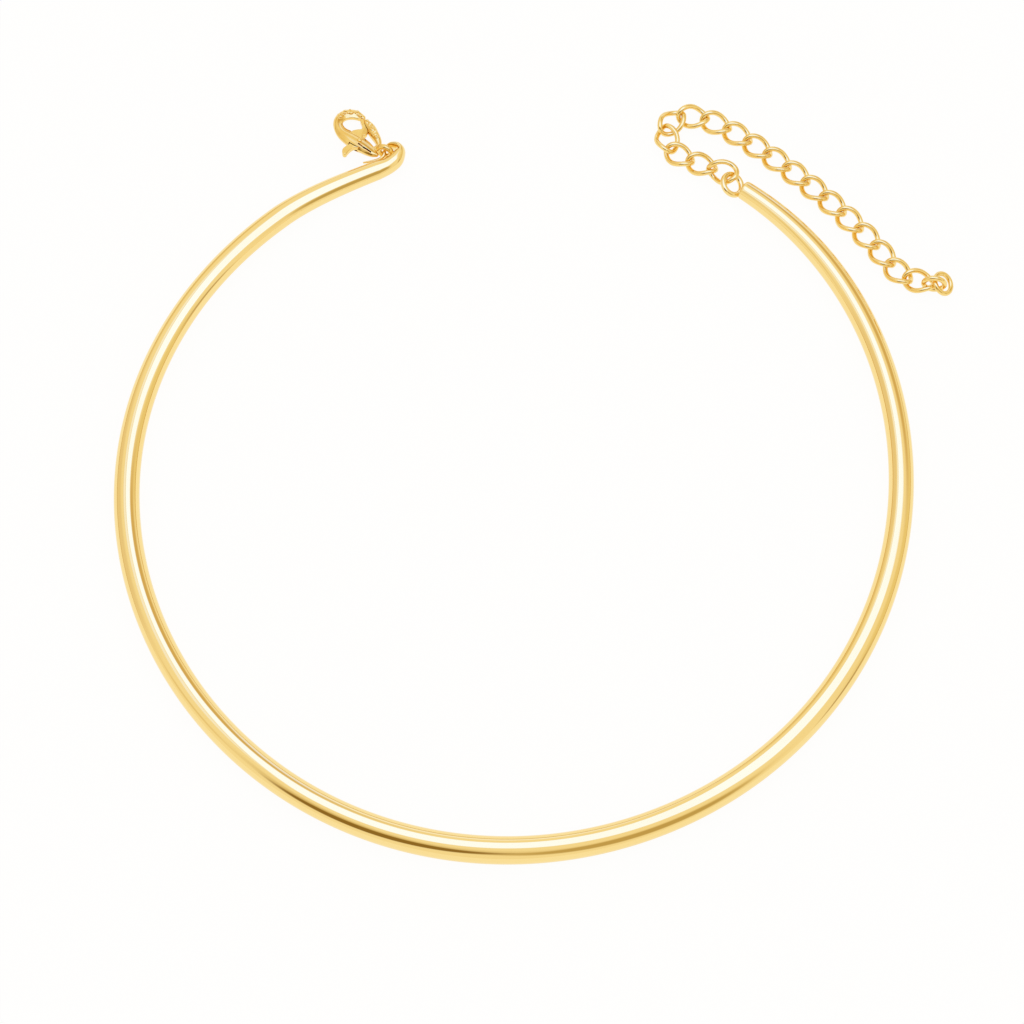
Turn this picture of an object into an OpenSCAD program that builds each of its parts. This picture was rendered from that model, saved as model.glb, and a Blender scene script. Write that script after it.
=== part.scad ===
// Collar necklace: an open hoop of polished tube with a lobster clasp and an extender chain.
// Frame: the hoop lies flat on z = 0, its middle at the origin, +Z up, and it opens towards +Y.

/* [Collar] */
// Mean radius of the hoop, to the middle of the tube
hoop_r = 65.6; // [62:0.2:70]
// How much the hoop is longer along its long diagonal than the mean radius
hoop_oval = 1.2; // [0:0.1:1.5]
// How much the hoop departs from an oval into three soft lobes
hoop_lobe = 0.5; // [0:0.1:0.6]
// How much it departs into four
hoop_square = 0.2; // [0:0.1:0.3]
// Tube diameter at the front of the neck
front_d = 4.6; // [4.2:0.1:5]
// Tube diameter towards the open back
back_d = 4.0; // [3.8:0.1:4.2]
// Tube diameter at the closed right-hand end
tip_d = 3.4; // [3.3:0.1:3.7]
// Sides of the tube's section
tube_sides = 20; // [16:2:24]

/* [Curled eye] */
// Height of the middle of the flattened strip above the resting surface
eye_z = 2.0; // [1.9:0.05:2.1]

/* [Soldered ring] */
// Radius of the ring at the right-hand end, to the middle of its wire
end_loop_r = 1.9; // [1.85:0.05:1.95]
// Wire diameter of that ring
end_loop_wire = 0.95; // [0.85:0.05:1]
// How far the ring leans out of the level
end_loop_lean = 30; // [26:1:32]

/* [Chain] */
// Wire diameter of the links
link_wire = 0.78; // [0.7:0.02:0.8]
// Length of a link, to the middle of its wire
link_l = 5.3; // [5.28:0.02:5.4]
// Width of a link, to the middle of its wire
link_w = 3.7; // [3.64:0.02:3.72]
// How far each end of a link is twisted out of its middle plane
link_twist = 42; // [40:1:44]
// Distance from link to link where the chain lies nearly straight
link_pitch = 4.3; // [4.26:0.01:4.3]
// Radius of the two round rings at the free end, to the middle of their wire
end_ring_r = 1.8; // [1.78:0.01:1.82]

/* [Clasp] */
// Thickness of the lever
lever_t = 1.0; // [0.8:0.05:1.05]
// Diameter of the rivet that the lever turns on
rivet_d = 0.8; // [0.7:0.05:0.9]
// Radial play of the lever on its rivet
rivet_play = 0.05; // [0.03:0.01:0.08]
// Height of the raised scrolls
scroll_h = 0.17; // [0.12:0.01:0.2]

/* [Hidden] */
FIRST_STRAIGHT = 9;
LAST_STRAIGHT = 15;
CHAIN_LINKS = 18;
GOLD = "#f2c75c";
$fn = 32;

// Where the hoop's long diagonal and its lobes point, seen from above
OVAL_DIR = 52;
LOBE_DIR = 3;
SQUARE_DIR = -21;
// The hoop runs clockwise from the domed tip to the start of the neck, in degrees from +X
TIP_ANGLE = 61.5;
NECK_ANGLE = -222;
HOOP_STEPS = 92;
DOME_L = 1.0;
// The last stretch before the dome narrows to the tip's diameter
NARROW_DEG = 24;

// The S-bend reaches this far along the hoop's end and back along the curl's start
NECK_REACH = 6;
CURL_HEADING = 31;
// Columns of the curl, where the tube is flattened into a strip and bent round:
// x, y, z above the strip's middle height, half width and half height
CURL = [
    [-31.95, 54.35, 0, 1.7, 1.75],
    [-30.4, 55.3, 0, 1.45, 1.7],
    [-29.15, 56.45, 0, 1.25, 1.65],
    [-28.5, 57.55, 0, 0.95, 1.6],
    [-28.25, 58.4, 0, 0.62, 1.55],
    [-28.35, 59.0, 0, 0.45, 1.5],
    [-28.95, 59.55, 0, 0.35, 1.5],
    [-29.8, 59.65, 0, 0.3, 1.45],
    [-30.6, 59.4, 0, 0.3, 1.2],
    [-31.15, 58.85, 0, 0.28, 0.65],
    [-31.3, 58.15, 0, 0.32, 0.45],
    [-31.35, 57.3, -0.05, 0.32, 0.42],
    [-31.95, 56.65, -0.2, 0.3, 0.4],
    [-32.95, 56.25, -0.45, 0.28, 0.36],
    [-34.85, 55.75, -0.6, 0.14, 0.2],
];
CURL_STEPS = 3;

// Where the soldered ring sits, just beyond the tube's domed tip
END_LOOP_AT = [30.45, 59.75, 1.8];

// Where each bent-over link lies: middle, heading, tip, roll
LINK = 0;
X = 1;
Y = 2;
Z = 3;
HEADING = 4;
TIP = 5;
ROLL = 6;
LAID = [
    // link, x, y, z, heading, tip, roll
    [1, 28.45, 61.8, 2.15, 167, -16, -38],
    [2, 24.65, 63.25, 1.2, 164, -2, 0],
    [3, 20.55, 64.6, 1.15, 153, -2, -1],
    [4, 18.0, 67.6, 1.15, 108, -3, -1],
    [5, 18.4, 71.1, 1.2, 52, -2, 5],
    [6, 22.1, 72.7, 1.2, 3, -5, 8],
    [7, 26.3, 71.9, 1.05, -17, -2, 2],
    [8, 30.3, 70.1, 1.05, -27, 0, 1],
    [16, 57.9, 49.85, 1.1, -45, 0, 0],
    [17, 60.95, 46.8, 1.1, -37, 1, 0],
    [18, 64.65, 45.45, 1.25, -11, 4, 3],
];
// The straight stretch sets off from the last bent link and turns a little at every link
STRAIGHT_HEADING = -29.5;
STRAIGHT_TURN = -2.2;
LAID_Z = 1.05;
LINK_STEPS = 14;
WIRE_SIDES = 6;
END_LINK_AT = [67.2, 44.85, 2.2];
END_LINK_TURN = [84, 0, 0];
END_RING_AT = [68.8, 45.4, 1.55];
END_RING_LEAN = 34;

// The clasp has a frame of its own: x from the tail ring to the hook, y to the solid side
CLASP_AT = [-31.5, 57.85, 2.05];
CLASP_HEADING = 141;
CLASP_TIP = -5;
CLASP_ROLL = 10;
TAIL_RING_AT = [0.05, -0.45, 0];
TAIL_RING_R = 1.15;
TAIL_RING_WIRE = 0.85;
TAIL_RING_TURN = 28;
PIVOT = [4.3, 1.8];
LEVER_OPENS = 20;
SLOT_PLAY = 0.15;
RIVET_L = 2.5;

// Columns of the two arms of the clasp: x, y, half width and half thickness
SOLID_ARM = [
    [0.5, 1.25, 0.45, 0.5],
    [1.1, 1.45, 0.85, 0.7],
    [2.0, 1.6, 1.15, 0.95],
    [3.2, 1.75, 1.4, 1.15],
    [4.3, 2.0, 1.55, 1.3],
    [5.5, 2.25, 1.58, 1.3],
    [6.7, 2.45, 1.42, 1.25],
    [7.9, 2.6, 1.2, 1.15],
    [9.0, 2.4, 1.0, 1.05],
    [9.95, 1.9, 0.9, 1.0],
    [10.6, 1.1, 0.92, 0.95],
    [10.85, 0.1, 1.0, 0.9],
    [10.65, -0.9, 1.08, 0.9],
    [10.0, -1.75, 1.05, 0.9],
    [9.15, -2.2, 0.9, 0.85],
    [8.35, -2.4, 0.7, 0.75],
];
GATE_ARM = [
    [1.55, 0.3, 0.45, 0.6],
    [1.6, -0.35, 0.45, 0.7],
    [2.2, -0.85, 0.6, 0.85],
    [3.0, -1.2, 0.72, 1.0],
    [4.1, -1.5, 0.85, 1.1],
    [5.2, -1.85, 0.9, 1.1],
    [6.3, -2.05, 0.8, 0.95],
    [7.0, -2.15, 0.6, 0.8],
];
// Scrolls raised on the face of the clasp: x, y, z, radius, start angle, sweep
SCROLLS = [
    [10.8, 0.5, 0.84, 0.5, 20, 250],
    [10.75, -0.55, 0.84, 0.5, 200, 250],
    [10.2, -1.5, 0.84, 0.5, 330, 250],
    [9.4, -2.1, 0.82, 0.45, 130, 250],
    [8.6, -2.35, 0.72, 0.36, 310, 250],
    [6.6, -2.1, 0.84, 0.4, 290, 250],
    [5.65, -1.95, 0.98, 0.45, 110, 250],
    [4.7, -1.7, 1.02, 0.45, 290, 250],
    [3.8, -1.4, 0.98, 0.42, 110, 250],
    [2.95, -1.15, 0.9, 0.36, 290, 250],
];
// The lever's outline, anticlockwise from the finger's tip: the finger, the cross-piece,
// the thumb tab, and back past the rivet
LEVER_OUTLINE = [
    [7.95, -2.15], [8.05, -1.85], [7.75, -1.5], [6.95, -1.15],
    [6.3, -0.5], [6.75, 0.3], [7.05, 1.15], [6.7, 2.0],
    [5.7, 2.8], [5.2, 3.5], [5.2, 4.7], [4.85, 5.45],
    [4.2, 5.8], [3.8, 5.55], [3.95, 4.85], [4.1, 4.0],
    [4.0, 3.3], [3.5, 2.8], [3.1, 2.2], [3.1, 1.4],
    [3.7, 0.85], [4.9, 0.55], [4.75, -0.1], [5.0, -0.75],
    [5.9, -1.6], [7.0, -2.15],
];

function flat(a) = [cos(a), sin(a), 0];
function lift(p, z) = [p[0], p[1], z];
function mix(a, b, t) = a + (b - a) * t;
function hoop_radius(a) = hoop_r + hoop_oval * cos(2 * (a - OVAL_DIR))
    - hoop_lobe * cos(3 * (a - LOBE_DIR)) + hoop_square * cos(4 * (a - SQUARE_DIR));
function hoop_at(a) = hoop_radius(a) * flat(a);
function hoop_heading(a) = let (d = hoop_at(a - 0.1) - hoop_at(a + 0.1)) atan2(d[1], d[0]);
function tube_d(a) = mix(back_d, front_d, (1 - cos(a - 90)) / 2);
function narrow(a) = max(0, min(1, 1 - (TIP_ANGLE - a) / NARROW_DEG));
function tube_r(a) = mix(tube_d(a), tip_d, pow(narrow(a), 2)) / 2;

// A section is [middle, heading, half width, half height]
function dome_sections() = [
    for (s = [15:15:75])
        let (a = TIP_ANGLE - DOME_L * (1 - cos(s)) * 180 / PI / hoop_radius(TIP_ANGLE), r = tube_r(a) * sin(s))
        [lift(hoop_at(a), tube_r(a)), hoop_heading(a), r, r]
];
function hoop_sections() = [
    for (i = [0:HOOP_STEPS])
        let (
            start = TIP_ANGLE - DOME_L * 180 / PI / hoop_radius(TIP_ANGLE),
            a = mix(start, NECK_ANGLE, i / HOOP_STEPS)
        )
        [lift(hoop_at(a), tube_r(a)), hoop_heading(a), tube_r(a), tube_r(a)]
];
function curve(p, t) =
    pow(1 - t, 3) * p[0] + 3 * t * pow(1 - t, 2) * p[1] + 3 * t * t * (1 - t) * p[2] + pow(t, 3) * p[3];
function curl_start() = [CURL[0][0], CURL[0][1], 0];
function neck_points() = [
    hoop_at(NECK_ANGLE),
    hoop_at(NECK_ANGLE) + NECK_REACH * flat(hoop_heading(NECK_ANGLE)),
    curl_start() - NECK_REACH * flat(CURL_HEADING),
    curl_start()
];
function neck_sections() = [
    for (i = [1:11])
        let (
            t = i / 12,
            p = neck_points(),
            d = curve(p, t + 0.01) - curve(p, t - 0.01),
            r = tube_r(NECK_ANGLE)
        )
        [
            lift(curve(p, t), mix(r, eye_z, t)), atan2(d[1], d[0]),
            mix(r, CURL[0][3], t), mix(r, CURL[0][4], t)
        ]
];
// A smooth line through the rows of the curl
function curl_row(i) = CURL[max(0, min(len(CURL) - 1, i))];
function curl_between(i, t) =
    (-t + 2 * t * t - pow(t, 3)) / 2 * curl_row(i - 1)
    + (2 - 5 * t * t + 3 * pow(t, 3)) / 2 * curl_row(i)
    + (t + 4 * t * t - 3 * pow(t, 3)) / 2 * curl_row(i + 1)
    + (pow(t, 3) - t * t) / 2 * curl_row(i + 2);
function curl_sections() = [
    for (i = [0:len(CURL) - 2], k = [0:CURL_STEPS - 1])
        let (
            t = k / CURL_STEPS,
            row = curl_between(i, t),
            d = i == 0 && k == 0 ? flat(CURL_HEADING) : curl_between(i, t + 0.05) - curl_between(i, t - 0.05)
        )
        [[row[0], row[1], eye_z + row[2]], atan2(d[1], d[0]), row[3], row[4]],
    let (last = CURL[len(CURL) - 1], d = last - CURL[len(CURL) - 2])
        [[last[0], last[1], eye_z + last[2]], atan2(d[1], d[0]), last[3], last[4]]
];

function section_points(s, sides) = [
    for (k = [0:sides - 1])
        let (a = 360 * k / sides)
        s[0] + s[2] * cos(a) * flat(s[1] - 90) + s[3] * sin(a) * [0, 0, 1]
];

// A skin over a row of sections, closed by a flat face at each end
module skin(sections, sides) {
    n = len(sections);
    polyhedron(
        points = [for (s = sections) each section_points(s, sides)],
        faces = concat(
            [for (i = [0:n - 2], k = [0:sides - 1], h = [0, 1])
                let (
                    a = i * sides + k,
                    b = i * sides + (k + 1) % sides,
                    c = a + sides,
                    d = b + sides
                )
                h == 0 ? [a, b, c] : [b, d, c]],
            [[for (k = [sides - 1:-1:0]) k]],
            [[for (k = [0:sides - 1]) (n - 1) * sides + k]]
        )
    );
}

// A closed wire along a loop of points, given with the way out of the loop at each
module wire_loop(middles, outs, wire, sides) {
    n = len(middles);
    polyhedron(
        points = [
            for (i = [0:n - 1], k = [0:sides - 1])
                let (
                    run = middles[(i + 1) % n] - middles[(i + n - 1) % n],
                    t = run / norm(run),
                    o = outs[i] - (outs[i] * t) * t,
                    u = o / norm(o),
                    v = cross(t, u),
                    a = 360 * k / sides
                )
                middles[i] + wire / 2 * (cos(a) * u + sin(a) * v)
        ],
        faces = [
            for (i = [0:n - 1], k = [0:sides - 1], h = [0, 1])
                let (
                    a = i * sides + k,
                    b = i * sides + (k + 1) % sides,
                    c = ((i + 1) % n) * sides + k,
                    d = ((i + 1) % n) * sides + (k + 1) % sides
                )
                h == 0 ? [a, c, b] : [b, c, d]
        ]
    );
}

module collar() {
    color(GOLD) union() {
        skin(concat(dome_sections(), hoop_sections(), neck_sections(), curl_sections()), tube_sides);
        translate(END_LOOP_AT) rotate([0, end_loop_lean, 0])
            wire_loop(
                [for (i = [0:19]) end_loop_r * flat(18 * i)],
                [for (i = [0:19]) flat(18 * i)],
                end_loop_wire, 10
            );
    }
}

// A curb link: an oval of wire whose two ends are twisted opposite ways
function twist_point(t, x, y) = let (w = -link_twist * x * 2 / link_l) [x, y * cos(w), y * sin(w)];
module curb_link() {
    turns = [for (i = [0:LINK_STEPS - 1]) 360 * i / LINK_STEPS];
    wire_loop(
        [for (t = turns) twist_point(t, link_l / 2 * cos(t), link_w / 2 * sin(t))],
        [for (t = turns) twist_point(t, link_l / 2 * cos(t), link_w / 2 * sin(t))],
        link_wire, WIRE_SIDES
    );
}

function laid_row(i) = [for (row = LAID) if (row[LINK] == i) row][0];
function straight_heading(i) = STRAIGHT_HEADING + STRAIGHT_TURN * (i - FIRST_STRAIGHT);
function straight_at(i) = i < FIRST_STRAIGHT
    ? [laid_row(i)[X], laid_row(i)[Y], LAID_Z]
    : straight_at(i - 1) + link_pitch * flat(straight_heading(i) - STRAIGHT_TURN / 2);

module placed(at, heading, tip, roll) {
    translate(at) rotate([0, 0, heading]) rotate([0, -tip, 0]) rotate([roll, 0, 0]) children();
}

module chain_link(i) {
    straight = i >= FIRST_STRAIGHT && i <= LAST_STRAIGHT;
    row = straight
        ? [i, straight_at(i)[0], straight_at(i)[1], LAID_Z, straight_heading(i), 0, 0]
        : laid_row(i);
    color(GOLD) placed([row[X], row[Y], row[Z]], row[HEADING], row[TIP], row[ROLL]) curb_link();
}

module round_link() {
    wire_loop(
        [for (i = [0:15]) end_ring_r * flat(22.5 * i)],
        [for (i = [0:15]) flat(22.5 * i)],
        link_wire, WIRE_SIDES
    );
}

module end_link() {
    color(GOLD) translate(END_LINK_AT) rotate(END_LINK_TURN) round_link();
}

module end_ring() {
    color(GOLD) translate(END_RING_AT) rotate([0, END_RING_LEAN, 0]) round_link();
}

module in_clasp() {
    placed(CLASP_AT, CLASP_HEADING, CLASP_TIP, CLASP_ROLL) children();
}

module arm_bead(row) {
    translate([row[0], row[1], 0]) scale([row[2], row[2], row[3]]) sphere(r = 1, $fn = 18);
}

module arm(rows) {
    for (i = [0:len(rows) - 2])
        hull() {
            arm_bead(rows[i]);
            arm_bead(rows[i + 1]);
        }
}

module scroll(row) {
    translate([row[0], row[1], row[2]])
        rotate([0, 0, row[4]])
            rotate_extrude(angle = row[5], $fn = 20)
                translate([row[3], 0]) circle(r = scroll_h, $fn = 6);
}

module clasp_body() {
    color(GOLD) in_clasp() difference() {
        union() {
            arm(SOLID_ARM);
            arm(GATE_ARM);
            for (row = SCROLLS) scroll(row);
            translate(TAIL_RING_AT) rotate([90, 0, TAIL_RING_TURN])
                rotate_extrude($fn = 28) translate([TAIL_RING_R, 0]) circle(d = TAIL_RING_WIRE, $fn = 10);
        }
        translate([0, 0, -lever_t / 2 - SLOT_PLAY])
            linear_extrude(lever_t + 2 * SLOT_PLAY)
                for (turn = [0:2:LEVER_OPENS])
                    translate(PIVOT) rotate(turn) translate(-PIVOT)
                        offset(delta = SLOT_PLAY) polygon(LEVER_OUTLINE);
        translate([PIVOT[0], PIVOT[1], -3]) cylinder(d = rivet_d + 0.06, h = 6);
    }
}

module clasp_lever() {
    color(GOLD) in_clasp() difference() {
        translate([0, 0, -lever_t / 2]) linear_extrude(lever_t) polygon(LEVER_OUTLINE);
        translate([PIVOT[0], PIVOT[1], -lever_t]) cylinder(d = rivet_d + 2 * rivet_play, h = 2 * lever_t);
    }
}

module clasp_rivet() {
    color(GOLD) in_clasp() translate([PIVOT[0], PIVOT[1], -RIVET_L / 2]) cylinder(d = rivet_d, h = RIVET_L);
}

collar();
clasp_body();
clasp_lever();
clasp_rivet();
chain_link(1);  // link_01
chain_link(2);  // link_02
chain_link(3);  // link_03
chain_link(4);  // link_04
chain_link(5);  // link_05
chain_link(6);  // link_06
chain_link(7);  // link_07
chain_link(8);  // link_08
chain_link(9);  // link_09
chain_link(10);  // link_10
chain_link(11);  // link_11
chain_link(12);  // link_12
chain_link(13);  // link_13
chain_link(14);  // link_14
chain_link(15);  // link_15
chain_link(16);  // link_16
chain_link(17);  // link_17
chain_link(18);  // link_18
end_link();
end_ring();
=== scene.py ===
"""Looks of the collar necklace: a polished tube hoop, a cast clasp and a curb chain in a white studio."""

import logging
import math
from dataclasses import dataclass, field
from enum import Enum
from typing import Iterable, Sequence

import bmesh
import bpy
from mathutils import Matrix, Vector

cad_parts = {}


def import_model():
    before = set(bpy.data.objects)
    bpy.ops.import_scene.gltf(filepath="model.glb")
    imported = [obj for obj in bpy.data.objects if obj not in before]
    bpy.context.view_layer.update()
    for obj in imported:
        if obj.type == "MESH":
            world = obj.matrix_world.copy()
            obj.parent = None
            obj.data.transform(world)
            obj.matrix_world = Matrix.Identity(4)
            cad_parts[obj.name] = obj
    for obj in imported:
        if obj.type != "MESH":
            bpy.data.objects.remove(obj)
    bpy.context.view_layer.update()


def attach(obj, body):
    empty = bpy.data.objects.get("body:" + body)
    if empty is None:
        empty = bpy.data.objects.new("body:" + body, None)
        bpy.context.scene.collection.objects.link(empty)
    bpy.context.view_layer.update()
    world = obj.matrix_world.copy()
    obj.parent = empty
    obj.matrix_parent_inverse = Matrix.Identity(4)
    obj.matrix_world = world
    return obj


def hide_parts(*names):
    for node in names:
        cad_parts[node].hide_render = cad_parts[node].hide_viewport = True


LOG = logging.getLogger("collar_necklace")
MM = 0.001
NECKLACE = "necklace"
LEVER = "lever"
X_AXIS = Vector((1, 0, 0))
Y_AXIS = Vector((0, 1, 0))
UP = Vector((0, 0, 1))
# How far to each side a curve is looked at for its direction, in degrees of the hoop or in its own measure
HOOP_NEARBY = 0.1
CURVE_NEARBY = 0.01
# How much of the oval's roundness a soft flat keeps
FLAT_CROWN = 0.3
# How many times finer the plating's fine clouding is than its slow drift
FINE_CLOUDS = 14.0
# Fineness of the polishing scuffs, for each metre
SCUFF_SCALE = 900.0
# The way across the cut corner of a panel, seen from above
CORNER_CUT = (0.54, 0.84)
# Columns of numbers, a row for each place
Table = tuple[tuple[float, ...], ...]


class Slot(Enum):
    """The record's material slots."""

    TUBE = "tube_gold"
    CAST = "cast_gold"
    CHAIN = "chain_gold"


def flat(degrees: float) -> Vector:
    """Returns the level unit vector at that angle from +X."""
    return Vector((math.cos(math.radians(degrees)), math.sin(math.radians(degrees)), 0.0))


def turning(degrees: float, axis: str) -> Matrix:
    """Returns the matrix that turns by that angle about an axis through the origin."""
    return Matrix.Rotation(math.radians(degrees), 4, axis)


def placed(at: Vector, heading: float, tip: float, roll: float) -> Matrix:
    """Places a part that is turned about Z, then tipped, then rolled.

    Args:
        at: where it goes.
        heading: its turn about Z in degrees.
        tip: how far its nose rises, in degrees.
        roll: its roll about its own length, in degrees.

    Returns:
        The placement.
    """
    turn = turning(heading, "Z") @ turning(-tip, "Y")
    return Matrix.Translation(at) @ turn @ turning(roll, "X")


def mix(a: float, b: float, t: float) -> float:
    """Returns the value t of the way from a to b."""
    return a + (b - a) * t


def bezier(points: Sequence[Vector], t: float) -> Vector:
    """Finds a place on a cubic curve.

    Args:
        points: the curve's four control points.
        t: how far along it, from 0 to 1.

    Returns:
        The point at t.
    """
    a, b, c, d = points
    u = 1 - t
    return a * u**3 + b * (3 * t * u * u) + c * (3 * t * t * u) + d * t**3


def through(rows: Sequence[Sequence[float]], steps: int, closed: bool = False) -> list[list[float]]:
    """Runs a smooth line through rows of numbers.

    Args:
        rows: the rows, each with as many numbers as the next.
        steps: how many rows come out for each that goes in.
        closed: whether the line runs on from the last row to the first.

    Returns:
        The finer rows.
    """
    n = len(rows)
    spans = n if closed else n - 1
    out = []
    for i in range(spans):
        near = [rows[(i + k) % n] if closed else rows[max(0, min(n - 1, i + k))] for k in (-1, 0, 1, 2)]
        for s in range(steps):
            t = s / steps
            weights = (
                -0.5 * t + t * t - 0.5 * t**3,
                1 - 2.5 * t * t + 1.5 * t**3,
                0.5 * t + 2 * t * t - 1.5 * t**3,
                -0.5 * t * t + 0.5 * t**3,
            )
            out.append([sum(w * row[c] for w, row in zip(weights, near)) for c in range(len(rows[0]))])
    if not closed:
        out.append(list(rows[-1]))
    return out


def across_line(rows: Sequence[Sequence[float]], i: int, closed: bool = False) -> Vector:
    """Finds the level direction across a line of places, to the right of its run.

    Args:
        rows: the places, with x and y first.
        i: which of them it is.
        closed: whether the line runs on from the last place to the first.

    Returns:
        The direction, a unit vector.
    """
    ahead = rows[(i + 1) % len(rows)] if closed else rows[min(i + 1, len(rows) - 1)]
    behind = rows[i - 1] if closed else rows[max(i - 1, 0)]
    run = Vector((ahead[0] - behind[0], ahead[1] - behind[1], 0)).normalized()
    return Vector((run.y, -run.x, 0))


@dataclass(frozen=True)
class Section:
    """One oval cross-section of a swept form, in millimetres.

    Its facets are soft flats pressed on it, each a direction in degrees from across towards up and a share of
    the oval.
    """

    middle: Vector
    across: Vector
    up: Vector
    half_width: float
    half_height: float
    facets: tuple[tuple[float, float], ...] = ()

    def run(self) -> Vector:
        """Returns the direction in which the form runs on."""
        return self.across.cross(self.up).normalized()

    def matrix(self) -> Matrix:
        """Works out how a unit circle is laid on this section.

        Returns:
            The matrix that lays it.
        """
        columns = (self.across * self.half_width, self.up * self.half_height, self.run(), self.middle)
        return Matrix([[column[row] for column in columns] for row in range(3)] + [[0, 0, 0, 1]])

    def shrunk(self, k: float, shift: float) -> "Section":
        """Makes the section of a rounded end.

        Args:
            k: how many times as wide and high it is.
            shift: how far it moves along the run.

        Returns:
            The new section.
        """
        middle = self.middle + self.run() * shift
        return Section(middle, self.across, self.up, self.half_width * k, self.half_height * k, self.facets)


class Form:
    """A mesh under construction, in millimetres."""

    def __init__(self) -> None:
        """Starts an empty mesh."""
        self.bm = bmesh.new()

    def ring(self, section: Section, sides: int) -> list[bmesh.types.BMEdge]:
        """Lays one ring of edges.

        Args:
            section: where it lies.
            sides: how many sides it has.

        Returns:
            The ring's edges.
        """
        made = bmesh.ops.create_circle(self.bm, cap_ends=False, radius=1, segments=sides)
        for vert in made["verts"]:
            for direction, limit in section.facets:
                reach = vert.co.dot(flat(direction))
                if reach > limit:
                    vert.co *= mix(limit, reach, FLAT_CROWN) / reach
        bmesh.ops.transform(self.bm, matrix=section.matrix(), verts=made["verts"])
        return list({edge for vert in made["verts"] for edge in vert.link_edges})

    def sweep(
        self, sections: Sequence[Section], sides: int, closed: bool = False, pole: float = 0.0
    ) -> "Form":
        """Skins a row of sections.

        Args:
            sections: the sections in order.
            sides: how many sides each has.
            closed: whether the last one joins the first.
            pole: how far each end's middle stands out of its last section.

        Returns:
            This form.
        """
        rings = [self.ring(section, sides) for section in sections]
        pairs = list(zip(rings, rings[1:])) + ([(rings[-1], rings[0])] if closed else [])
        for a, b in pairs:
            bmesh.ops.bridge_loops(self.bm, edges=a + b)
        if not closed:
            for edges, section, side in ((rings[0], sections[0], -1), (rings[-1], sections[-1], 1)):
                cap = bmesh.ops.edgeloop_fill(self.bm, edges=edges)["faces"]
                middle = bmesh.ops.poke(self.bm, faces=cap)["verts"]
                bmesh.ops.translate(self.bm, verts=middle, vec=section.run() * pole * side)
        return self

    def torus(self, radius: float, wire: float, steps: int, sides: int) -> "Form":
        """Spins a round wire into a ring that lies level round the origin.

        Args:
            radius: from the ring's middle to the middle of the wire.
            wire: the wire's diameter.
            steps: how many steps the ring has.
            sides: how many sides the wire has.

        Returns:
            This form.
        """
        edges = self.ring(Section(X_AXIS * radius, X_AXIS, UP, wire / 2, wire / 2), sides)
        verts = list({vert for edge in edges for vert in edge.verts})
        bmesh.ops.spin(
            self.bm, geom=edges + verts, cent=(0, 0, 0), axis=(0, 0, 1), dvec=(0, 0, 0),
            angle=math.tau, steps=steps, use_merge=True, use_normal_flip=False, use_duplicate=False,
        )
        return self

    def turned(self, matrix: Matrix) -> "Form":
        """Places the whole form.

        Args:
            matrix: the placement, in millimetres.

        Returns:
            This form.
        """
        bmesh.ops.transform(self.bm, matrix=matrix, verts=self.bm.verts)
        return self

    def add(self, other: "Form") -> "Form":
        """Takes another form's mesh into this one.

        Args:
            other: the form to take in, which is used up.

        Returns:
            This form.
        """
        mesh = bpy.data.meshes.new("passing")
        other.bm.to_mesh(mesh)
        other.bm.free()
        self.bm.from_mesh(mesh)
        bpy.data.meshes.remove(mesh)
        return self

    def relax(self, times: int, factor: float = 0.5) -> "Form":
        """Evens the surface out.

        Args:
            times: how many passes.
            factor: how far a point goes towards its neighbours in each.

        Returns:
            This form.
        """
        for _ in range(times):
            bmesh.ops.smooth_vert(
                self.bm, verts=self.bm.verts, factor=factor, use_axis_x=True, use_axis_y=True, use_axis_z=True
            )
        return self

    def remeshed(self, voxel: float) -> "Form":
        """Fuses everything in the form into one skin.

        Args:
            voxel: the size of the new faces.

        Returns:
            This form.
        """
        return self._through_modifier("REMESH", mode="VOXEL", voxel_size=voxel)

    def cut(self, tool: "Form") -> "Form":
        """Takes another form's space out of this one.

        Args:
            tool: the form to cut with, which is used up.

        Returns:
            This form.
        """
        cutter = tool.loose_object("cutter")
        self._through_modifier("BOOLEAN", operation="DIFFERENCE", solver="EXACT", object=cutter)
        bpy.data.objects.remove(cutter)
        return self

    def loose_object(self, name: str) -> bpy.types.Object:
        """Makes a scratch object in millimetres.

        Args:
            name: its name.

        Returns:
            The object, with the form used up.
        """
        bmesh.ops.recalc_face_normals(self.bm, faces=self.bm.faces)
        return self._handed_over(name)

    def _handed_over(self, name: str) -> bpy.types.Object:
        """Moves the mesh into a new object of the scene.

        Args:
            name: its name.

        Returns:
            The object, with the form used up.
        """
        mesh = bpy.data.meshes.new(name)
        self.bm.to_mesh(mesh)
        self.bm.free()
        made = bpy.data.objects.new(name, mesh)
        bpy.context.scene.collection.objects.link(made)
        return made

    def _through_modifier(self, kind: str, **settings: object) -> "Form":
        """Runs the form through one modifier.

        Args:
            kind: the modifier's type.
            settings: its settings.

        Returns:
            This form.
        """
        holder = self.loose_object("holder")
        modifier = holder.modifiers.new(kind.lower(), kind)
        for key, value in settings.items():
            setattr(modifier, key, value)
        graph = bpy.context.evaluated_depsgraph_get()
        mesh = bpy.data.meshes.new_from_object(holder.evaluated_get(graph))
        bpy.data.objects.remove(holder)
        self.bm = bmesh.new()
        self.bm.from_mesh(mesh)
        bpy.data.meshes.remove(mesh)
        return self

    def finished(self, name: str, sharp_degrees: float = 180.0) -> bpy.types.Object:
        """Turns the form into a piece in metres.

        Args:
            name: the piece's name.
            sharp_degrees: the angle from which an edge stays sharp.

        Returns:
            The piece.
        """
        bmesh.ops.recalc_face_normals(self.bm, faces=self.bm.faces)
        bmesh.ops.scale(self.bm, vec=(MM, MM, MM), verts=self.bm.verts)
        for face in self.bm.faces:
            face.smooth = True
        for edge in self.bm.edges:
            if edge.is_manifold and edge.calc_face_angle(0.0) > math.radians(sharp_degrees):
                edge.smooth = False
        return self._handed_over(name)


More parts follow.
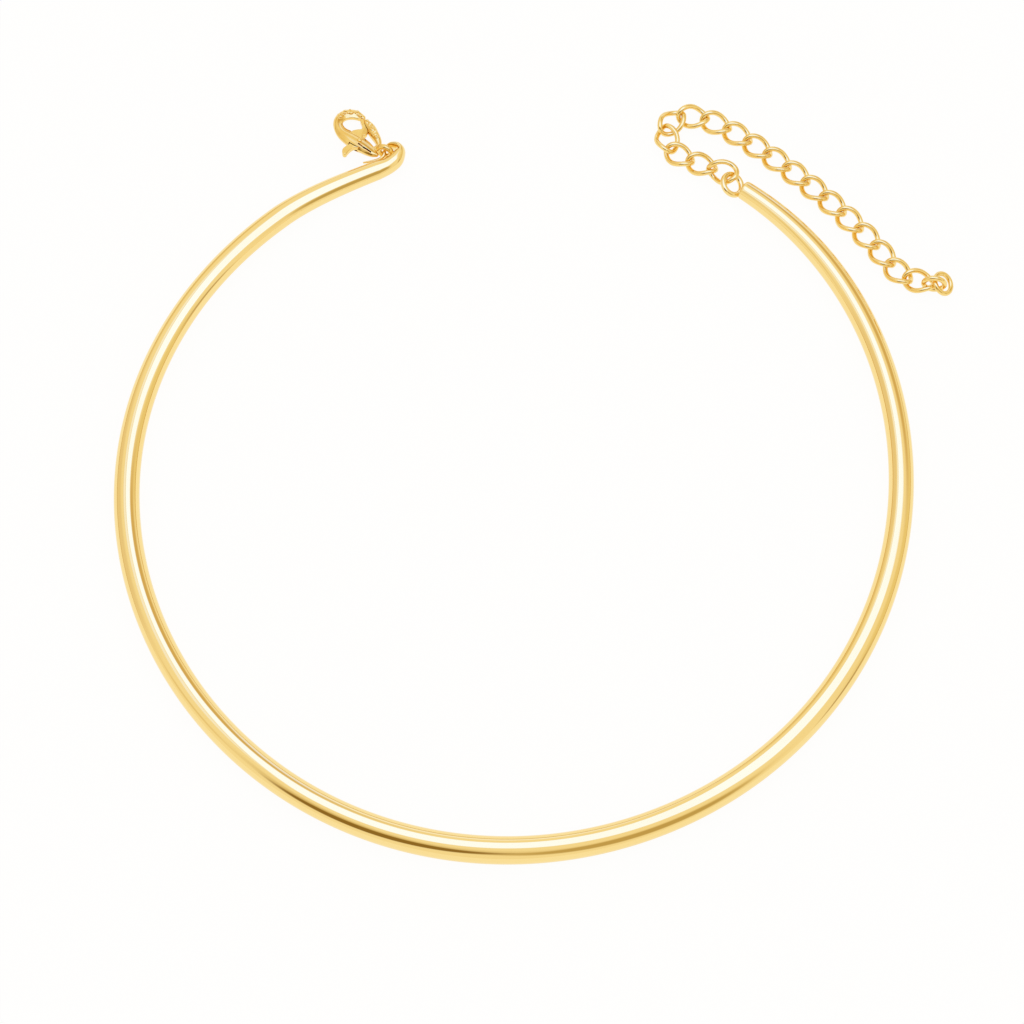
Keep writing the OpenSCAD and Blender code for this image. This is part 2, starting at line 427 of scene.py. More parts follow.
class Tree:
    """A node tree with short ways to add to it."""

    # Where a Mix node keeps its factor, its two colours and the colour that comes out
    MIX_INPUTS = (0, 6, 7)
    MIX_COLOR_OUT = 2

    def __init__(self, tree: bpy.types.NodeTree) -> None:
        """Takes the tree to add to, and keeps it."""
        self.tree = tree

    def node(self, kind: str, inputs: dict | None = None, **settings: object) -> bpy.types.Node:
        """Adds a node.

        Args:
            kind: the node's type.
            inputs: what feeds each input, a socket or a value.
            settings: its own settings.

        Returns:
            The node.
        """
        made = self.tree.nodes.new(kind)
        for key, value in settings.items():
            setattr(made, key, value)
        for key, value in (inputs or {}).items():
            self.feed(made.inputs[key], value)
        return made

    def feed(self, socket: bpy.types.NodeSocket, value: object) -> None:
        """Feeds an input.

        Args:
            socket: the input.
            value: an output socket to link, or a value to set.
        """
        if isinstance(value, bpy.types.NodeSocket):
            self.tree.links.new(value, socket)
        elif value is not None:
            socket.default_value = value

    def math(self, operation: str, *values: object) -> bpy.types.NodeSocket:
        """Adds a sum.

        Args:
            operation: the Math node's operation.
            values: its inputs in order.

        Returns:
            Its output.
        """
        return self.node("ShaderNodeMath", dict(enumerate(values)), operation=operation).outputs[0]

    def place(self) -> bpy.types.NodeSocket:
        """Returns where a point is in its piece's own coordinates."""
        return self.node("ShaderNodeTexCoord").outputs["Object"]

    def parts(self, vector: bpy.types.NodeSocket) -> tuple[bpy.types.NodeSocket, ...]:
        """Returns the x, y and z of a vector."""
        return tuple(self.node("ShaderNodeSeparateXYZ", {"Vector": vector}).outputs)

    def noise(
        self, place: object, scale: object, detail: float, roughness: float = 0.5
    ) -> bpy.types.NodeSocket:
        """Adds noise.

        Args:
            place: the coordinates that it is laid out on.
            scale: how fine it is.
            detail: how many finer layers it has.
            roughness: how strong each finer layer is.

        Returns:
            Its output.
        """
        inputs = {"Vector": place, "Scale": scale, "Detail": detail, "Roughness": roughness}
        return self.node("ShaderNodeTexNoise", inputs).outputs["Fac"]

    def step(
        self, value: object, low: float, high: float, to_low: float = 0.0, to_high: float = 1.0
    ) -> bpy.types.NodeSocket:
        """Adds a smooth step.

        Args:
            value: what is stepped.
            low: where the step starts.
            high: where it ends.
            to_low: what comes out before it.
            to_high: what comes out after it.

        Returns:
            Its output.
        """
        inputs = {"Value": value, "From Min": low, "From Max": high, "To Min": to_low, "To Max": to_high}
        return self.node("ShaderNodeMapRange", inputs, interpolation_type="SMOOTHSTEP", clamp=True).outputs[0]

    def blend(self, factor: object, a: object, b: object) -> bpy.types.NodeSocket:
        """Adds a mix of two colours.

        Args:
            factor: how much of the second there is.
            a: the first colour.
            b: the second colour.

        Returns:
            The mixed colour.
        """
        node = self.node("ShaderNodeMix", data_type="RGBA")
        for index, value in zip(self.MIX_INPUTS, (factor, a, b)):
            self.feed(node.inputs[index], value)
        return node.outputs[self.MIX_COLOR_OUT]


def fresh_material(name: str) -> tuple[bpy.types.Material, Tree]:
    """Starts a material with an empty tree.

    Args:
        name: its name.

    Returns:
        The material, and its tree to add to.
    """
    made = bpy.data.materials.new(name)
    made.use_nodes = True
    made.node_tree.nodes.clear()
    return made, Tree(made.node_tree)


class Shared:
    """The shader groups that more than one finish uses."""

    def __init__(self) -> None:
        """Builds every group once."""
        self.tone = self._plate_tone()
        self.marks = self._polish_marks()

    @staticmethod
    def _group(name: str, inputs: Sequence[tuple], outputs: Sequence[tuple]) -> bpy.types.NodeTree:
        """Starts a group.

        Args:
            name: its name.
            inputs: name, socket type and default of each input.
            outputs: name and socket type of each output.

        Returns:
            The group's tree.
        """
        group = bpy.data.node_groups.new(name, "ShaderNodeTree")
        for label, kind, default in inputs:
            group.interface.new_socket(label, in_out="INPUT", socket_type=kind).default_value = default
        for label, kind in outputs:
            group.interface.new_socket(label, in_out="OUTPUT", socket_type=kind)
        return group

    def _plate_tone(self) -> bpy.types.NodeTree:
        """Builds the slow drift of the plating's colour and its faint clouding.

        Returns:
            The group's tree.
        """
        group = self._group(
            "plate_tone",
            [
                ("Light", "NodeSocketColor", (1, 1, 1, 1)),
                ("Deep", "NodeSocketColor", (1, 1, 1, 1)),
                ("Cloud size", "NodeSocketFloat", 60.0),
                ("Amount", "NodeSocketFloat", 0.5),
            ],
            [("Color", "NodeSocketColor")],
        )
        tree = Tree(group)
        ends = tree.node("NodeGroupInput")
        place = tree.place()
        wide = tree.noise(place, ends.outputs["Cloud size"], 2.0)
        fine = tree.noise(place, tree.math("MULTIPLY", ends.outputs["Cloud size"], FINE_CLOUDS), 3.0)
        both = tree.math("ADD", tree.step(wide, 0.35, 0.7), tree.step(fine, 0.5, 0.8, 0.0, 0.5))
        share = tree.math("MULTIPLY", both, ends.outputs["Amount"])
        color = tree.blend(share, ends.outputs["Light"], ends.outputs["Deep"])
        tree.node("NodeGroupOutput", {"Color": color})
        return group

    def _polish_marks(self) -> bpy.types.NodeTree:
        """Builds the hairlines and tiny scuffs left by the polishing wheel.

        Returns:
            The group's tree.
        """
        group = self._group(
            "polish_marks",
            [
                ("Across", "NodeSocketVector", (0, 0, 0)),
                ("Hairlines", "NodeSocketFloat", 1.0),
                ("Scuffs", "NodeSocketFloat", 1.0),
                ("Gloss", "NodeSocketFloat", 0.06),
                ("Dullness", "NodeSocketFloat", 0.05),
            ],
            [("Roughness", "NodeSocketFloat"), ("Height", "NodeSocketFloat")],
        )
        tree = Tree(group)
        ends = tree.node("NodeGroupInput")
        lines = tree.noise(ends.outputs["Across"], 1.0, 4.0, 0.6)
        spots = tree.noise(tree.place(), SCUFF_SCALE, 3.0, 0.7)
        hair = tree.math("MULTIPLY", lines, ends.outputs["Hairlines"])
        scuff = tree.math("MULTIPLY", tree.step(spots, 0.45, 0.75), ends.outputs["Scuffs"])
        height = tree.math("SUBTRACT", hair, scuff)
        dull = tree.math("ADD", tree.math("MULTIPLY", lines, 0.5), tree.step(spots, 0.5, 0.8))
        rough = tree.math("ADD", ends.outputs["Gloss"], tree.math("MULTIPLY", dull, ends.outputs["Dullness"]))
        tree.node("NodeGroupOutput", {"Roughness": rough, "Height": height})
        return group


@dataclass(frozen=True)
class GoldFinish:
    """A polished gold plate.

    The cloud size and the line scale count for each metre. The relief of the marks is in metres.
    """

    name: str
    light: tuple[float, float, float]
    deep: tuple[float, float, float]
    cloud_size: float
    drift: float
    gloss: float
    dullness: float
    hairlines: float
    scuffs: float
    line_scale: tuple[float, float, float]
    runs_round_hoop: bool
    relief: float

    def _coordinates(self, tree: Tree) -> bpy.types.NodeSocket:
        """Finds where a point is across and along the polishing marks.

        Args:
            tree: the material's tree.

        Returns:
            The coordinates, closely spaced across the marks.
        """
        place = tree.place()
        if not self.runs_round_hoop:
            return tree.node("ShaderNodeMapping", {"Vector": place, "Scale": self.line_scale}).outputs[0]
        x, y, z = tree.parts(place)
        reach = tree.math("SQRT", tree.math("ADD", tree.math("MULTIPLY", x, x), tree.math("MULTIPLY", y, y)))
        along = tree.node("ShaderNodeVectorMath", {0: place}, operation="NORMALIZE").outputs[0]
        along_x, along_y, _ = tree.parts(along)
        across, slow, _ = self.line_scale
        inputs = {
            0: tree.math("MULTIPLY", tree.math("ADD", reach, z), across),
            1: tree.math("MULTIPLY", along_x, slow), 2: tree.math("MULTIPLY", along_y, slow),
        }
        return tree.node("ShaderNodeCombineXYZ", inputs).outputs[0]

    def material(self, shared: Shared) -> bpy.types.Material:
        """Builds the finish.

        Args:
            shared: the shared groups.

        Returns:
            The material.
        """
        made, tree = fresh_material(self.name)
        tone = tree.node(
            "ShaderNodeGroup",
            {
                "Light": (*self.light, 1), "Deep": (*self.deep, 1),
                "Cloud size": self.cloud_size, "Amount": self.drift,
            },
            node_tree=shared.tone,
        )
        marks = tree.node(
            "ShaderNodeGroup",
            {
                "Across": self._coordinates(tree), "Hairlines": self.hairlines, "Scuffs": self.scuffs,
                "Gloss": self.gloss, "Dullness": self.dullness,
            },
            node_tree=shared.marks,
        )
        bump = tree.node(
            "ShaderNodeBump", {"Strength": 1.0, "Distance": self.relief, "Height": marks.outputs["Height"]}
        )
        shader = tree.node(
            "ShaderNodeBsdfPrincipled",
            {
                "Base Color": tone.outputs[0], "Roughness": marks.outputs["Roughness"], "Metallic": 1.0,
                "Normal": bump.outputs[0],
            },
        )
        tree.node("ShaderNodeOutputMaterial", {"Surface": shader.outputs[0]})
        return made


TUBE_FINISH = GoldFinish(
    name="polished_tube_gold", light=(0.96, 0.74, 0.315), deep=(0.95, 0.71, 0.28),
    cloud_size=45.0, drift=0.45, gloss=0.045, dullness=0.03, hairlines=0.5, scuffs=0.15,
    line_scale=(9000.0, 30.0, 1.0), runs_round_hoop=True, relief=0.0000006,
)
CAST_FINISH = GoldFinish(
    name="cast_clasp_gold", light=(0.95, 0.70, 0.25), deep=(0.89, 0.57, 0.14),
    cloud_size=420.0, drift=0.7, gloss=0.08, dullness=0.06, hairlines=0.4, scuffs=0.35,
    line_scale=(2500.0, 2500.0, 2500.0), runs_round_hoop=False, relief=0.000002,
)
CHAIN_FINISH = GoldFinish(
    name="chain_wire_gold", light=(0.95, 0.71, 0.27), deep=(0.90, 0.62, 0.19),
    cloud_size=160.0, drift=0.5, gloss=0.085, dullness=0.06, hairlines=0.6, scuffs=0.5,
    line_scale=(1800.0, 1800.0, 1800.0), runs_round_hoop=False, relief=0.000002,
)


class Finishes:
    """The three gold finishes, one for each slot."""

    def __init__(self) -> None:
        """Builds each material once."""
        shared = Shared()
        self.by_slot = {
            Slot.TUBE: TUBE_FINISH.material(shared),
            Slot.CAST: CAST_FINISH.material(shared),
            Slot.CHAIN: CHAIN_FINISH.material(shared),
        }

    def dress(self, piece: bpy.types.Object, slot: Slot, body: str, nodes: Iterable[str]) -> None:
        """Gives a piece its finish, its body and the CAD nodes that it stands for.

        Args:
            piece: the finished piece.
            slot: the record's material slot.
            body: the CAD body that it moves with.
            nodes: the CAD nodes that it replaces.
        """
        piece.data.materials.append(self.by_slot[slot])
        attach(piece, body)
        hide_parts(*nodes)
        LOG.info("%s: %d faces, %s", piece.name, len(piece.data.polygons), slot.value)


@dataclass
class CollarTube:
    """The rigid hoop with its curled eye and the ring soldered to its other end, in millimetres.

    The hoop's radius swings about its mean two, three and four times a turn, by oval, lobe and square.
    """

    mean_radius: float = 65.6
    oval: float = 1.2
    lobe: float = 0.5
    square: float = 0.2
    oval_direction: float = 52.0
    lobe_direction: float = 3.0
    square_direction: float = -21.0
    front_diameter: float = 4.6
    back_diameter: float = 4.0
    tip_diameter: float = 3.4
    tip_angle: float = 61.5
    neck_angle: float = -222.0
    narrowing: float = 24.0
    dome_length: float = 1.0
    neck_reach: float = 6.0
    curl_heading: float = 31.0
    middle_height: float = 2.0
    ring_at: Vector = field(default_factory=lambda: Vector((30.45, 59.75, 1.8)))
    ring_radius: float = 1.9
    ring_wire: float = 1.05
    ring_lean: float = 30.0
    ring_steps: int = 72
    ring_sides: int = 20
    # x, y, z above the middle height, half width and half height of each place round the curl
    curl: Table = (
        (-31.95, 54.35, 0.0, 1.7, 1.75), (-30.4, 55.3, 0.0, 1.45, 1.7), (-29.25, 56.55, 0.0, 1.38, 1.65),
        (-28.72, 57.6, 0.0, 1.17, 1.6), (-28.45, 58.35, 0.0, 0.86, 1.55), (-28.55, 58.88, 0.0, 0.66, 1.5),
        (-29.05, 59.35, 0.0, 0.53, 1.5), (-29.8, 59.48, 0.0, 0.45, 1.45), (-30.6, 59.33, 0.0, 0.36, 1.2),
        (-31.15, 58.85, 0.0, 0.3, 0.7), (-31.3, 58.15, 0.0, 0.32, 0.5), (-31.35, 57.3, -0.05, 0.32, 0.48),
        (-31.95, 56.65, -0.2, 0.3, 0.4), (-32.95, 56.25, -0.45, 0.28, 0.36), (-34.85, 55.75, -0.6, 0.14, 0.2),
    )
    sides: int = 56
    # angles in degrees of the closed end's first section and between it and the next ones
    dome_start: int = 4
    dome_step: int = 6
    hoop_steps: int = 340
    neck_steps: int = 40
    curl_steps: int = 8
    pole_rise: float = 0.05

    def hoop_radius(self, a: float) -> float:
        """Works out the hoop's radius.

        Args:
            a: the angle in degrees.

        Returns:
            The radius there.
        """
        bulge = self.oval * math.cos(math.radians(2 * (a - self.oval_direction)))
        bulge -= self.lobe * math.cos(math.radians(3 * (a - self.lobe_direction)))
        squared = self.square * math.cos(math.radians(4 * (a - self.square_direction)))
        return self.mean_radius + bulge + squared

    def hoop_at(self, a: float) -> Vector:
        """Returns the middle of the tube, seen from above."""
        return flat(a) * self.hoop_radius(a)

    def hoop_run(self, a: float) -> Vector:
        """Returns a vector along the hoop, on from its right end."""
        return self.hoop_at(a - HOOP_NEARBY) - self.hoop_at(a + HOOP_NEARBY)

    def tube_radius(self, a: float) -> float:
        """Works out the tube's radius, which is largest at the front and narrows at the right end.

        Args:
            a: the angle in degrees.

        Returns:
            The radius there.
        """
        diameter = mix(self.back_diameter, self.front_diameter, (1 - math.cos(math.radians(a - 90))) / 2)
        narrow = max(0.0, min(1.0, 1 - (self.tip_angle - a) / self.narrowing))
        return mix(diameter, self.tip_diameter, narrow**2) / 2

    @staticmethod
    def _section(middle: Vector, run: Vector, half_width: float, half_height: float) -> Section:
        """Stands a section upright across a level run.

        Args:
            middle: its middle.
            run: the way the tube runs there.
            half_width: half its width, level.
            half_height: half its height.

        Returns:
            The section.
        """
        level = Vector((run.x, run.y, 0)).normalized()
        return Section(middle, Vector((level.y, -level.x, 0)), UP, half_width, half_height)

    def _hoop_section(self, a: float, k: float = 1.0) -> Section:
        """Makes a section of the hoop.

        Args:
            a: its angle in degrees.
            k: how many times the tube's own radius it has.

        Returns:
            The section.
        """
        radius = self.tube_radius(a)
        return self._section(self.hoop_at(a) + UP * radius, self.hoop_run(a), radius * k, radius * k)

    def _dome_degrees(self) -> float:
        """Returns how many degrees of the hoop the closed end takes up."""
        return math.degrees(self.dome_length / self.hoop_radius(self.tip_angle))

    def _dome(self) -> list[Section]:
        """Lays out the closed end.

        Returns:
            Its sections, from its pole.
        """
        out = []
        for s in range(self.dome_start, 90, self.dome_step):
            turn = math.radians(s)
            back = 1 - math.sqrt(math.cos(turn))
            a = self.tip_angle - self._dome_degrees() * back
            out.append(self._hoop_section(a, math.sqrt(math.sin(turn))))
        return out

    def _hoop(self) -> list[Section]:
        """Lays out the round hoop.

        Returns:
            Its sections, on from the closed end.
        """
        start, steps = self.tip_angle - self._dome_degrees(), self.hoop_steps
        return [self._hoop_section(mix(start, self.neck_angle, i / steps)) for i in range(steps + 1)]

    def _neck(self) -> list[Section]:
        """Lays out the S-bend between the hoop and the curl.

        Returns:
            Its sections, on from the hoop.
        """
        x, y, _, half_width, half_height = self.curl[0]
        first, last = self.hoop_at(self.neck_angle), Vector((x, y, 0))
        heading = self.hoop_run(self.neck_angle).normalized()
        points = (
            first, first + heading * self.neck_reach,
            last - flat(self.curl_heading) * self.neck_reach, last,
        )
        radius = self.tube_radius(self.neck_angle)
        out = []
        for i in range(1, self.neck_steps):
            t = i / self.neck_steps
            middle = bezier(points, t) + UP * mix(radius, self.middle_height, t)
            run = bezier(points, t + CURVE_NEARBY) - bezier(points, t - CURVE_NEARBY)
            out.append(self._section(middle, run, mix(radius, half_width, t), mix(radius, half_height, t)))
        return out

    def _curl(self) -> list[Section]:
        """Lays out the curled eye and the strip's bent-back end.

        Returns:
            Their sections, on from the S-bend.
        """
        rows = through(self.curl, self.curl_steps)
        out = []
        for i, (x, y, z, half_width, half_height) in enumerate(rows):
            behind, ahead = rows[max(i - 1, 0)], rows[min(i + 1, len(rows) - 1)]
            run = Vector((ahead[0] - behind[0], ahead[1] - behind[1], 0)) if i else flat(self.curl_heading)
            out.append(self._section(Vector((x, y, self.middle_height + z)), run, half_width, half_height))
        return out

    def build(self) -> bpy.types.Object:
        """Builds the whole collar.

        Returns:
            The collar as one piece.
        """
        rows = self._dome() + self._hoop() + self._neck() + self._curl()
        form = Form().sweep(rows, self.sides, pole=self.pole_rise)
        ring = Form().torus(self.ring_radius, self.ring_wire, self.ring_steps, self.ring_sides)
        place = Matrix.Translation(self.ring_at) @ turning(self.ring_lean, "Y")
        return form.add(ring.turned(place)).finished("collar_tube")


@dataclass(frozen=True)
class Laid:
    """How one link lies, in millimetres and degrees."""

    x: float
    y: float
    z: float
    heading: float
    tip: float
    roll: float

    def matrix(self) -> Matrix:
        """Returns the link's placement in millimetres."""
        return placed(Vector((self.x, self.y, self.z)), self.heading, self.tip, self.roll)


@dataclass
class CurbChain:
    """The extender chain with its two small rings, in millimetres."""

    wire: float = 0.9
    length: float = 5.3
    width: float = 3.7
    twist: float = 42.0
    pitch: float = 4.3
    ring_radius: float = 1.8
    straight_heading: float = -29.5
    straight_turn: float = -2.2
    laid_height: float = 1.05
    first_straight: int = 9
    last_straight: int = 15
    steps: int = 64
    sides: int = 16
    end_link_at: Vector = field(default_factory=lambda: Vector((67.2, 44.85, 2.2)))
    end_link_roll: float = 84.0
    end_ring_at: Vector = field(default_factory=lambda: Vector((68.8, 45.4, 1.55)))
    end_ring_lean: float = 34.0
    # the links outside the straight stretch, by their numbers from the collar
    bent: dict[int, Laid] = field(
        default_factory=lambda: {
            1: Laid(28.45, 61.8, 2.15, 167, -16, -38),
            2: Laid(24.65, 63.25, 1.2, 164, -2, 0),
            3: Laid(20.55, 64.6, 1.15, 153, -2, -1),
            4: Laid(18.0, 67.6, 1.15, 108, -3, -1),
            5: Laid(18.4, 71.1, 1.2, 52, -2, 5),
            6: Laid(22.1, 72.7, 1.2, 3, -5, 8),
            7: Laid(26.3, 71.9, 1.05, -17, -2, 2),
            8: Laid(30.3, 70.1, 1.05, -27, 0, 1),
            16: Laid(57.9, 49.85, 1.1, -45, 0, 0),
            17: Laid(60.95, 46.8, 1.1, -37, 1, 0),
            18: Laid(64.65, 45.45, 1.25, -11, 4, 3),
        }
    )

    def rows(self) -> dict[int, Laid]:
        """Works the straight stretch out from the link before it, and adds it to the bent links.

        Returns:
            How every link lies, by its number.
        """
        rows = dict(self.bent)
        x, y = rows[self.first_straight - 1].x, rows[self.first_straight - 1].y
        for i in range(self.first_straight, self.last_straight + 1):
            heading = self.straight_heading + self.straight_turn * (i - self.first_straight)
            step = flat(heading - self.straight_turn / 2) * self.pitch
            x, y = x + step.x, y + step.y
            rows[i] = Laid(x, y, self.laid_height, heading, 0, 0)
        return rows

    def _link_point(self, t: float) -> Vector:
        """Finds a point on the middle line of a link, which is twisted opposite ways at its two ends.

        Args:
            t: how far round the link it is, in radians.

        Returns:
            The point.
        """
        x = self.length / 2 * math.cos(t)
        side = self.width / 2 * math.sin(t)
        turn = math.radians(-self.twist * x * 2 / self.length)
        return Vector((x, side * math.cos(turn), side * math.sin(turn)))

    def link_form(self) -> Form:
        """Sweeps one curb link.

        Returns:
            The link's form, level round the origin.
        """
        sections = []
        for i in range(self.steps):
            t = math.tau * i / self.steps
            run = (self._link_point(t + CURVE_NEARBY) - self._link_point(t - CURVE_NEARBY)).normalized()
            middle = self._link_point(t)
            out = (middle - run * middle.dot(run)).normalized()
            sections.append(Section(middle, out, run.cross(out), self.wire / 2, self.wire / 2))
        return Form().sweep(sections, self.sides, closed=True)

    def build(self, finishes: Finishes) -> None:
        """Builds and dresses every link and both rings.

        Args:
            finishes: the finishes to use.
        """
        for number, row in sorted(self.rows().items()):
            node = f"link_{number:02d}"
            piece = self.link_form().turned(row.matrix()).finished(f"curb_{node}")
            finishes.dress(piece, Slot.CHAIN, NECKLACE, [node])
        rings = (
            ("end_link", self.end_link_at, turning(self.end_link_roll, "X")),
            ("end_ring", self.end_ring_at, turning(self.end_ring_lean, "Y")),
        )
        for node, at, turn in rings:
            ring = Form().torus(self.ring_radius, self.wire, self.steps, self.sides)
            piece = ring.turned(Matrix.Translation(at) @ turn).finished(f"round_{node}")
            finishes.dress(piece, Slot.CHAIN, NECKLACE, [node])


@dataclass
class LobsterClasp:
    """The cast clasp with its lever, in millimetres.

    In the clasp's own frame x runs from the tail ring to the hook and y to the solid side.
    """

    at: Vector = field(default_factory=lambda: Vector((-31.5, 57.85, 2.05)))
    heading: float = 141.0
    tip: float = -5.0
    roll: float = 10.0
    tail_at: Vector = field(default_factory=lambda: Vector((0.05, -0.45, 0.0)))
    tail_radius: float = 1.15
    tail_wire: float = 1.05
    tail_turn: float = 28.0
    tail_steps: int = 48
    tail_sides: int = 16
    pivot: Vector = field(default_factory=lambda: Vector((4.3, 1.8, 0.0)))
    lever_thickness: float = 1.0
    lever_opens: int = 20
    lever_rounding: float = 0.16
    rim_degrees: float = 60.0
    lever_sharp_degrees: float = 40.0
    body_sharp_degrees: float = 50.0
    play: float = 0.12
    play_step: int = 5
    rivet_diameter: float = 0.8
    rivet_length: float = 2.5
    rivet_dome: float = 0.12
    rivet_sides: int = 24
    scroll_height: float = 0.18
    scroll_thin: float = 0.75
    scroll_swell: float = 0.35
    scroll_sunk: float = 0.04
    scroll_turn: float = 330.0
    scroll_winding: float = 0.6
    scroll_steps: int = 21
    scroll_sides: int = 10
    slit_half_width: float = 0.13
    slit_half_height: float = 0.75
    slit_sides: int = 16
    voxel: float = 0.07
    relax_passes: int = 5
    arm_steps: int = 5
    arm_sides: int = 56
    outline_steps: int = 4
    # angles in degrees at which a rounded end has its sections, and the rivet's head its rings
    end_angles: tuple[int, ...] = (15, 35, 55, 75)
    head_angles: tuple[int, ...] = (12, 30, 50, 70, 90)
    # x, y, half width and half thickness of each place along an arm; direction and share of each flat on it
    solid_arm: Table = (
        (0.5, 1.25, 0.45, 0.5), (1.1, 1.45, 0.85, 0.7), (2.0, 1.6, 1.15, 0.95), (3.2, 1.75, 1.4, 1.15),
        (4.3, 2.0, 1.55, 1.3), (5.5, 2.25, 1.58, 1.3), (6.7, 2.45, 1.42, 1.25), (7.9, 2.6, 1.2, 1.15),
        (9.0, 2.4, 1.0, 1.05), (9.95, 1.9, 0.9, 1.0), (10.6, 1.1, 0.92, 0.95), (10.85, 0.1, 1.0, 0.9),
        (10.65, -0.9, 1.08, 0.9), (10.0, -1.75, 1.05, 0.9), (9.15, -2.2, 0.9, 0.85), (8.35, -2.4, 0.7, 0.75),
    )
    solid_facets: Table = ((74.0, 0.58), (132.0, 0.72), (195.0, 0.86), (280.0, 0.78))
    gate_arm: Table = (
        (1.55, 0.3, 0.45, 0.6), (1.6, -0.35, 0.45, 0.7), (2.2, -0.85, 0.6, 0.85), (3.0, -1.2, 0.72, 1.0),
        (4.1, -1.5, 0.85, 1.1), (5.2, -1.85, 0.9, 1.1), (6.3, -2.05, 0.8, 0.95), (7.0, -2.15, 0.6, 0.8),
    )
    gate_facets: Table = ((90.0, 0.86),)
    # x, y and z of each place along the slit
    slit: Table = ((4.0, 2.45, 0.75), (2.6, 2.2, 0.7), (1.2, 1.85, 0.45))
    # x, y, z, radius and start angle of each scroll
    scrolls: Table = (
        (10.8, 0.5, 0.84, 0.5, 20), (10.75, -0.55, 0.84, 0.5, 200), (10.2, -1.5, 0.84, 0.5, 330),
        (9.4, -2.1, 0.82, 0.45, 130), (8.6, -2.35, 0.72, 0.36, 310), (6.6, -2.1, 0.84, 0.4, 290),
        (5.65, -1.95, 0.98, 0.45, 110), (4.7, -1.7, 1.02, 0.45, 290), (3.8, -1.4, 0.98, 0.42, 110),
        (2.95, -1.15, 0.9, 0.36, 290),
    )
    # x and y of each place round the lever
    lever_outline: Table = (
        (7.95, -2.15), (8.05, -1.85), (7.75, -1.5), (6.95, -1.15), (6.3, -0.5), (6.75, 0.3), (7.05, 1.15),
        (6.7, 2.0), (5.7, 2.8), (5.2, 3.5), (5.2, 4.7), (4.85, 5.45), (4.2, 5.8), (3.8, 5.55), (3.95, 4.85),
        (4.1, 4.0), (4.0, 3.3), (3.5, 2.8), (3.1, 2.2), (3.1, 1.4), (3.7, 0.85), (4.9, 0.55), (4.75, -0.1),
        (5.0, -0.75), (5.9, -1.6), (7.0, -2.15),
    )

    def place(self) -> Matrix:
        """Returns the clasp's placement in millimetres."""
        return placed(self.at, self.heading, self.tip, self.roll)

    def _arm(self, rows: Table, facets: Table) -> Form:
        """Sweeps one arm with rounded ends.

        Args:
            rows: x, y, half width and half thickness of each place.
            facets: the flats along it.

        Returns:
            The arm's form.
        """
        fine = through(rows, self.arm_steps)
        sections = [
            Section(Vector((x, y, 0)), across_line(fine, i), UP, half_width, half_height, facets)
            for i, (x, y, half_width, half_height) in enumerate(fine)
        ]
        turns = [math.radians(s) for s in self.end_angles]
        first, last = sections[0], sections[-1]
        head = [first.shrunk(math.sin(t), first.half_width * math.cos(t)) for t in turns]
        tail = [last.shrunk(math.cos(t), -last.half_width * math.sin(t)) for t in turns]
        return Form().sweep(head + sections + tail, self.arm_sides)

    def _scroll(self, row: Sequence[float]) -> Form:
        """Sweeps one raised scroll, a spiral that winds in to a bead.

        Args:
            row: x, y, z, radius and start angle.

        Returns:
            The scroll's form.
        """
        x, y, z, radius, start = row
        sections = []
        for i in range(self.scroll_steps + 1):
            t = i / self.scroll_steps
            a = start + self.scroll_turn * t
            reach = radius * (1 - self.scroll_winding * t)
            middle = Vector((x, y, z - self.scroll_sunk)) + flat(a) * reach
            thick = self.scroll_height * (self.scroll_thin + self.scroll_swell * math.sin(math.pi * t))
            sections.append(Section(middle, flat(a), UP, thick, thick))
        return Form().sweep(sections, self.scroll_sides)

    def _slit(self) -> Form:
        """Sweeps the space of the narrow slit beside the ridge of the solid arm.

        Returns:
            The space's form.
        """
        sections = [
            Section(Vector(row), across_line(self.slit, i), UP, self.slit_half_width, self.slit_half_height)
            for i, row in enumerate(self.slit)
        ]
        return Form().sweep(sections, self.slit_sides)

    def body(self) -> bpy.types.Object:
        """Fuses the cast hook with its scrolls and its tail ring, and cuts the slit and the lever's room.

        Returns:
            The body as one piece.
        """
        form = self._arm(self.solid_arm, self.solid_facets).add(self._arm(self.gate_arm, self.gate_facets))
        for row in self.scrolls:
            form.add(self._scroll(row))
        tail = Form().torus(self.tail_radius, self.tail_wire, self.tail_steps, self.tail_sides)
        turn = turning(self.tail_turn, "Z") @ turning(90, "X")
        form.add(tail.turned(Matrix.Translation(self.tail_at) @ turn))
        form.remeshed(self.voxel).relax(self.relax_passes)
        form.cut(self._slit())
        for turn_by in range(0, self.lever_opens + 1, self.play_step):
            about = Matrix.Translation(self.pivot) @ turning(turn_by, "Z")
            slot = self._lever_blank(self.play, self.lever_thickness + 2 * self.play)
            form.cut(slot.turned(about @ Matrix.Translation(-self.pivot)))
        return form.turned(self.place()).finished("cast_clasp_body", self.body_sharp_degrees)

    def _lever_blank(self, grow: float, thickness: float) -> Form:
        """Cuts the lever's outline from sheet.

        Args:
            grow: how far the outline stands out.
            thickness: how thick the sheet is.

        Returns:
            The blank's form.
        """
        fine = through(self.lever_outline, self.outline_steps, closed=True)
        form = Form()
        bmesh.ops.create_circle(form.bm, cap_ends=True, radius=1, segments=len(fine))
        form.bm.verts.ensure_lookup_table()
        for i, vert in enumerate(form.bm.verts):
            vert.co = Vector((*fine[i], -thickness / 2)) + across_line(fine, i, closed=True) * grow
        raised = bmesh.ops.extrude_face_region(form.bm, geom=list(form.bm.faces))["geom"]
        verts = [item for item in raised if isinstance(item, bmesh.types.BMVert)]
        bmesh.ops.translate(form.bm, verts=verts, vec=(0, 0, thickness))
        return form

